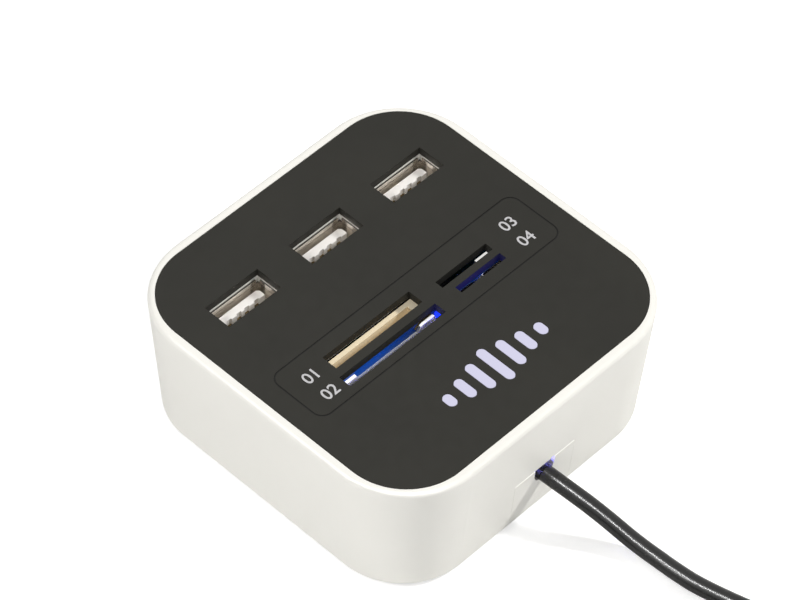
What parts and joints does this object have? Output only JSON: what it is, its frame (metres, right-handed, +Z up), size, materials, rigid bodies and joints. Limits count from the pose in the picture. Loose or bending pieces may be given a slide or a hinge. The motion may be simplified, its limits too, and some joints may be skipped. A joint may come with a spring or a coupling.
{
  "type": "usb hub card reader",
  "caption": "Square desk hub with upright USB sockets in a row, memory card slots behind a dark top plate, a lit bar window, rubber feet and a plug on a thin cable.",
  "frame": {"origin": "centre of the square footprint, on the surface that the feet stand on", "axes": "+Z up, +X along the rows of sockets and slots, +Y towards the row of USB sockets; the cable leaves the wall on the -Y side"},
  "size_m": [0.0798, 0.164, 0.03],
  "materials": {
    "housing_plastic": "fine satin moulding",
    "plate_plastic": "fine spark-eroded texture, matt",
    "window_plastic": "translucent, lit from below",
    "cover_plastic": "satin moulding",
    "foot_rubber": "matt",
    "screw_steel": "zinc plated",
    "main_board": "solder mask",
    "card_board": "solder mask",
    "chip_plastic": "matt",
    "can_steel": "satin",
    "capacitor_sleeve": "shrunk sleeve",
    "led_white": "clear resin, lit",
    "led_blue": "clear resin, lit",
    "socket_steel": "nickel plated sheet",
    "tongue_plastic": "white nylon",
    "contact_brass": "gold flash",
    "cream_plastic": "moulded",
    "white_plastic": "moulded",
    "black_plastic": "moulded",
    "cable_jacket": "soft jacket, satin",
    "wire_jackets": "four coloured cores",
    "plug_steel": "nickel plated sheet"
  },
  "bodies": {
    "root": {"housing": "housing_plastic", "top_plate": "plate_plastic", "light_guide": "window_plastic", "bottom_cover": "cover_plastic", "foot_1": "foot_rubber", "cover_screw_1": "screw_steel", "board_screw_1": "screw_steel", "foot_2": "foot_rubber", "cover_screw_2": "screw_steel", "board_screw_2": "screw_steel", "foot_3": "foot_rubber", "cover_screw_3": "screw_steel", "board_screw_3": "screw_steel", "foot_4": "foot_rubber", "cover_screw_4": "screw_steel", "board_screw_4": "screw_steel", "main_board": "main_board", "hub_chip": "chip_plastic", "reader_chip": "chip_plastic", "clock_crystal": "can_steel", "capacitor_1": "capacitor_sleeve", "capacitor_2": "capacitor_sleeve", "window_led_1": "led_white", "window_led_2": "led_white", "card_led": "led_blue", "card_board": "card_board", "board_header": "black_plastic", "usb_shell_1": "socket_steel", "usb_tongue_1": "tongue_plastic", "usb_contacts_1": "contact_brass", "usb_shell_2": "socket_steel", "usb_tongue_2": "tongue_plastic", "usb_contacts_2": "contact_brass", "usb_shell_3": "socket_steel", "usb_tongue_3": "tongue_plastic", "usb_contacts_3": "contact_brass", "stick_card_socket": "cream_plastic", "stick_card_contacts": "contact_brass", "full_card_socket": "white_plastic", "full_card_shell": "socket_steel", "full_card_contacts": "contact_brass", "small_card_socket": "white_plastic", "small_card_contacts": "contact_brass", "micro_card_socket": "black_plastic", "micro_card_shell": "socket_steel", "micro_card_contacts": "contact_brass", "cable_stop": "cable_jacket", "cable_wires": "wire_jackets", "cable_tube": "cable_jacket", "cable_coil": "cable_jacket", "plug_grip": "cable_jacket", "plug_shell": "plug_steel", "plug_tongue": "tongue_plastic", "plug_contacts": "contact_brass"}
  },
  "joints": []
}
